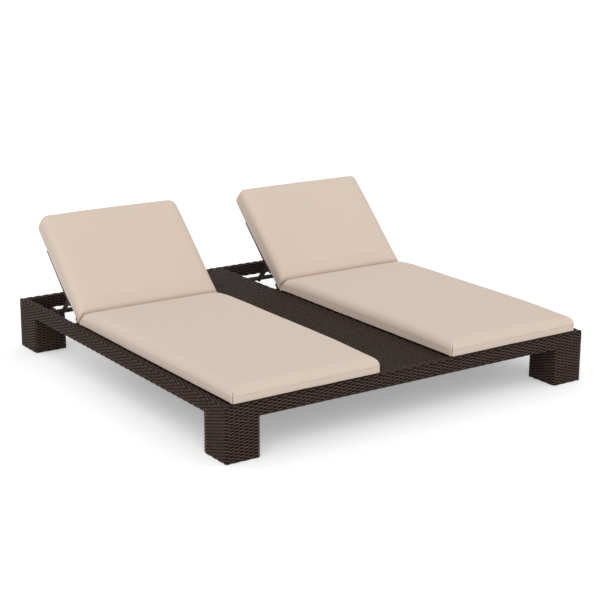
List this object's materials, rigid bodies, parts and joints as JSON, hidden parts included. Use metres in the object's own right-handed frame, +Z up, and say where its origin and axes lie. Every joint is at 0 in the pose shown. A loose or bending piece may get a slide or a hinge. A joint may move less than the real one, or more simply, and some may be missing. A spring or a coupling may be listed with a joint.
{
  "type": "double chaise lounger",
  "caption": "Low woven double chaise lounger with a middle table strip, seat cushions and backrests that fold flat.",
  "frame": {"origin": "on the floor under the middle of the frame", "axes": "+Z up, +Y towards the head end, +X to the right as seen from the foot end"},
  "size_m": [1.986, 2, 0.7057],
  "materials": {
    "woven_strand": "satin extruded resin strand, dark espresso brown",
    "cushion_cloth": "fine plain-woven canvas, sand beige",
    "brown_metal": "powder-coated dark brown aluminium",
    "stainless": "brushed stainless steel",
    "black_nylon": "matt black nylon"
  },
  "bodies": {
    "frame": {"foot_left_leg_frame": "brown_metal", "foot_left_leg_weave": "woven_strand", "foot_rail_tube": "brown_metal", "foot_rail_weave": "woven_strand", "foot_right_leg_frame": "brown_metal", "foot_right_leg_weave": "woven_strand", "head_left_leg_frame": "brown_metal", "head_left_leg_weave": "woven_strand", "head_rail_tube": "brown_metal", "head_rail_weave": "woven_strand", "head_right_leg_frame": "brown_metal", "head_right_leg_weave": "woven_strand", "left_head_stretcher": "brown_metal", "left_hinge_beam": "brown_metal", "left_hinge_brackets": "brown_metal", "left_hinge_bushes": "black_nylon", "left_hinge_pins": "stainless", "left_rail_tube": "brown_metal", "left_rail_weave": "woven_strand", "left_seat_cushion": "cushion_cloth", "left_seat_deck": "woven_strand", "left_seat_slats": "brown_metal", "left_stay_racks": "brown_metal", "left_table_tube": "brown_metal", "leg_glides": "black_nylon", "right_head_stretcher": "brown_metal", "right_hinge_beam": "brown_metal", "right_hinge_brackets": "brown_metal", "right_hinge_bushes": "black_nylon", "right_hinge_pins": "stainless", "right_rail_tube": "brown_metal", "right_rail_weave": "woven_strand", "right_seat_cushion": "cushion_cloth", "right_seat_deck": "woven_strand", "right_seat_slats": "brown_metal", "right_stay_racks": "brown_metal", "right_table_tube": "brown_metal", "table_side_weaves": "woven_strand", "table_slats": "brown_metal", "table_top_weave": "woven_strand", "well_screws": "stainless"},
    "left_back": {"left_back_side_tubes": "brown_metal", "left_back_cross_tubes": "brown_metal", "left_back_weave": "woven_strand", "left_back_cushion": "cushion_cloth", "left_back_hood": "cushion_cloth", "left_stay_rod": "brown_metal", "left_stay_spacers": "black_nylon"},
    "left_stay": {"left_stay_arms": "brown_metal", "left_stay_foot_bar": "brown_metal"},
    "right_back": {"right_back_side_tubes": "brown_metal", "right_back_cross_tubes": "brown_metal", "right_back_weave": "woven_strand", "right_back_cushion": "cushion_cloth", "right_back_hood": "cushion_cloth", "right_stay_rod": "brown_metal", "right_stay_spacers": "black_nylon"},
    "right_stay": {"right_stay_arms": "brown_metal", "right_stay_foot_bar": "brown_metal"}
  },
  "joints": [
    {"name": "left_back_hinge", "type": "hinge", "parent": "frame", "child": "left_back", "pos_m": [-0.578, 0.445, 0.24], "axis": [1, 0, 0], "range_deg": [-44.3, 4]},
    {"name": "left_stay_swing", "type": "hinge", "parent": "left_back", "child": "left_stay", "pos_m": [-0.578, 0.56108, 0.36446], "axis": [1, 0, 0], "range_deg": [-8.1, 88.7]},
    {"name": "right_back_hinge", "type": "hinge", "parent": "frame", "child": "right_back", "pos_m": [0.578, 0.445, 0.24], "axis": [1, 0, 0], "range_deg": [-44.3, 4]},
    {"name": "right_stay_swing", "type": "hinge", "parent": "right_back", "child": "right_stay", "pos_m": [0.578, 0.56108, 0.36446], "axis": [1, 0, 0], "range_deg": [-8.1, 88.7]}
  ],
  "couplings": [
    {"joint": "left_stay_swing", "follows": "left_back_hinge", "ratio": -2},
    {"joint": "right_stay_swing", "follows": "right_back_hinge", "ratio": -2}
  ]
}
